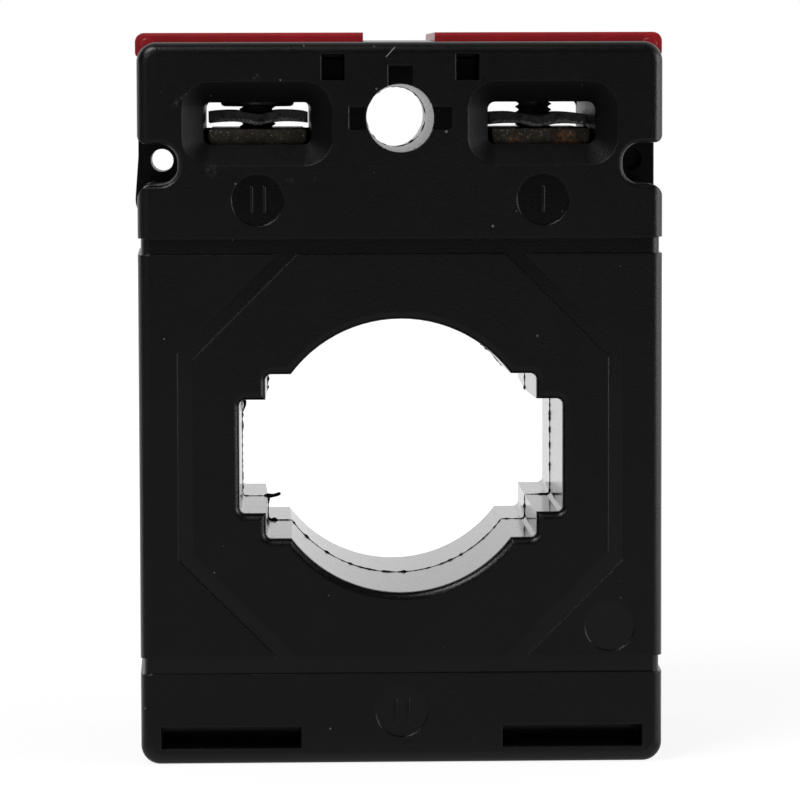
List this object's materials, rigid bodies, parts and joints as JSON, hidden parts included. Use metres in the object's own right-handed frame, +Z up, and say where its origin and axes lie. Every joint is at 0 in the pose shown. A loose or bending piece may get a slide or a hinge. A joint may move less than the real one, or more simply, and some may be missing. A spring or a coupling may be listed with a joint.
{
  "type": "current transformer",
  "caption": "Moulded-case window current transformer with a stepped busbar aperture, screw clamp terminals and hinged red terminal covers.",
  "frame": {"origin": "middle of the base, under the parting plane of the two shells", "axes": "+Z up through the terminals, +X to the right of the marked face, -Y out of the marked face along the busbar"},
  "size_m": [0.0712, 0.043, 0.0979],
  "materials": {
    "black_case": "fine-textured black moulding",
    "core_steel": "wound strip",
    "core_cup": "natural moulding",
    "copper_wire": "enamelled copper",
    "tape": "polyester tape",
    "sleeve": "woven insulating sleeve",
    "bar_brass": "dull, darkened",
    "clamp_steel": "zinc plated stamping",
    "screw_steel": "zinc plated",
    "red_cover": "smooth red moulding"
  },
  "bodies": {
    "housing": {"front_shell": "black_case", "rear_shell": "black_case", "ring_core": "core_steel", "core_cup_front": "core_cup", "core_cup_rear": "core_cup", "secondary_winding": "copper_wire", "winding_tape": "tape", "lead_s1": "copper_wire", "lead_s2": "copper_wire", "lead_sleeve_s1": "sleeve", "lead_sleeve_s2": "sleeve", "terminal_bar_s1": "bar_brass", "terminal_bar_s2": "bar_brass"},
    "clamp_s1": {"clamp_plate_s1": "clamp_steel"},
    "clamp_s2": {"clamp_plate_s2": "clamp_steel"},
    "screw_s1": {"clamp_screw_s1": "screw_steel"},
    "screw_s2": {"clamp_screw_s2": "screw_steel"},
    "cover_s1": {"terminal_cover_s1": "red_cover"},
    "cover_s2": {"terminal_cover_s2": "red_cover"}
  },
  "joints": [
    {"name": "cover_s1_hinge", "type": "hinge", "parent": "housing", "child": "cover_s1", "pos_m": [0.0336, 0, 0.09625], "axis": [0, 1, 0], "range_deg": [0, 105]},
    {"name": "cover_s2_hinge", "type": "hinge", "parent": "housing", "child": "cover_s2", "pos_m": [-0.0336, 0, 0.09625], "axis": [0, -1, 0], "range_deg": [0, 105]},
    {"name": "clamp_s1_lift", "type": "slide", "parent": "housing", "child": "clamp_s1", "axis": [0, 0, 1], "range_m": [-0.00005, 0.003]},
    {"name": "clamp_s2_lift", "type": "slide", "parent": "housing", "child": "clamp_s2", "axis": [0, 0, 1], "range_m": [-0.0004, 0.0028]},
    {"name": "screw_s1_turn", "type": "hinge", "parent": "clamp_s1", "child": "screw_s1", "pos_m": [0.019, 0, 0.089], "axis": [0, 0, 1], "range_deg": [-22.5, 1350]},
    {"name": "screw_s2_turn", "type": "hinge", "parent": "clamp_s2", "child": "screw_s2", "pos_m": [-0.019, 0, 0.088], "axis": [0, 0, 1], "range_deg": [-180, 1260]}
  ],
  "couplings": [
    {"joint": "screw_s1_turn", "follows": "clamp_s1_lift", "rad_per_m": 7853.9},
    {"joint": "screw_s2_turn", "follows": "clamp_s2_lift", "rad_per_m": 7853.9}
  ]
}
